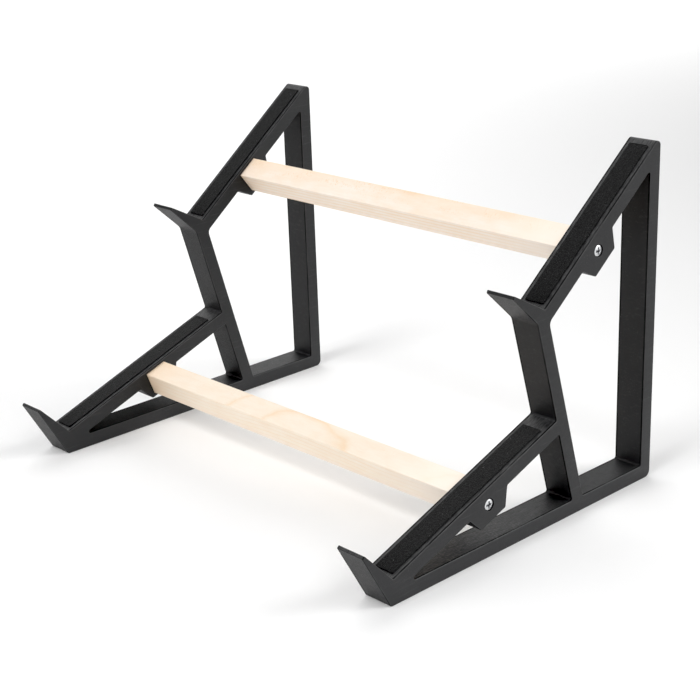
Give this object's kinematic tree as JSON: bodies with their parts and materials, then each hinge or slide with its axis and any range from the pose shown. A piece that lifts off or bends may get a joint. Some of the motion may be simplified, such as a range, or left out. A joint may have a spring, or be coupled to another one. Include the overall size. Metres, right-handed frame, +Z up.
{
  "type": "two-tier desktop stand",
  "caption": "Open desktop stand with two sloping tiers: flat plastic side frames with lipped, padded arms, joined by square wooden crossbars.",
  "frame": {"origin": "on the resting plane, in the middle of the footprint of the whole stand", "axes": "+X along the crossbars, from the left side frame to the right one as seen from the front; +Y from the lips back to the posts; +Z up"},
  "size_m": [0.3, 0.2296, 0.1968],
  "materials": {
    "black_plastic": "satin, with fine layer lines across the faces",
    "wood": "bare planed pale softwood",
    "felt": "short black nap",
    "zinc": "bright zinc plate"
  },
  "bodies": {
    "root": {"right_side_frame": "black_plastic", "left_side_frame": "black_plastic", "lower_crossbar": "wood", "upper_crossbar": "wood", "lower_right_pad": "felt", "lower_left_pad": "felt", "upper_right_pad": "felt", "upper_left_pad": "felt", "lower_right_screw": "zinc", "lower_left_screw": "zinc", "upper_right_screw": "zinc", "upper_left_screw": "zinc"}
  },
  "joints": []
}
